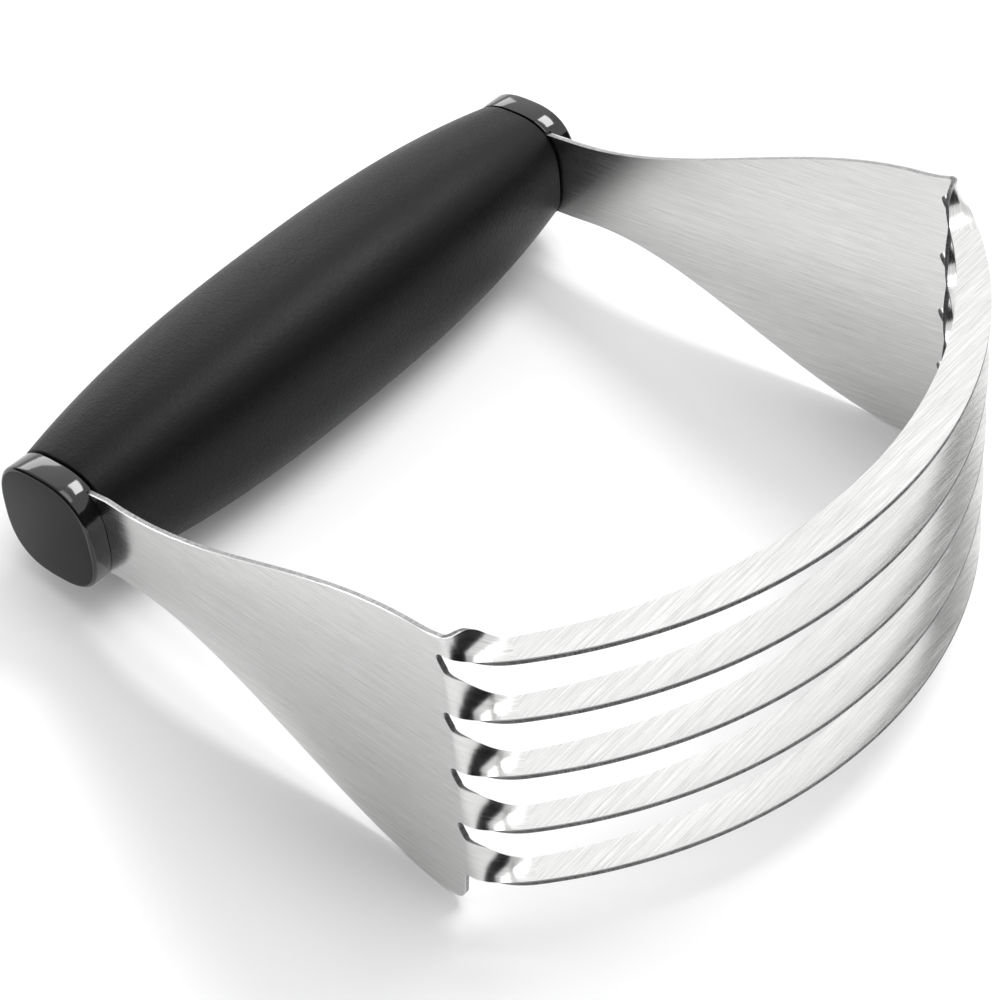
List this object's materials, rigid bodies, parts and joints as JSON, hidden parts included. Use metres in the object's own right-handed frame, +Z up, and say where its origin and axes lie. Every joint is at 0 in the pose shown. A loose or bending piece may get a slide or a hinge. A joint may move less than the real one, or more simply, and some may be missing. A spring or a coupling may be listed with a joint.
{
  "type": "pastry blender",
  "caption": "Hand tool with curved crescent blades between two flared arms and a barrel-shaped handle, for cutting fat into flour.",
  "frame": {"origin": "centre of the bottom of the object's box, on the surface that it rests on", "axes": "+X from the handle to the blades, +Y along the handle, +Z up; the part leans so that it rests on its two tails and on the middle of the grip"},
  "size_m": [0.1156, 0.108, 0.0501],
  "materials": {
    "brushed_stainless": "brushed stainless steel, hairlines along the arms and the blades, sheared edges darker",
    "matte_black_plastic": "fine-grained matt black moulding",
    "grey_core_plastic": "plain moulded, hidden inside the grip",
    "gloss_black_plastic": "smooth glossy black moulding",
    "zinc_screw_steel": "zinc-plated screw, hidden under the end cap"
  },
  "bodies": {
    "root": {"blade_sheet": "brushed_stainless", "handle_grip": "matte_black_plastic", "handle_core": "grey_core_plastic", "end_cap_left": "gloss_black_plastic", "end_cap_right": "gloss_black_plastic", "arm_screw_left": "zinc_screw_steel", "arm_screw_right": "zinc_screw_steel"}
  },
  "joints": []
}
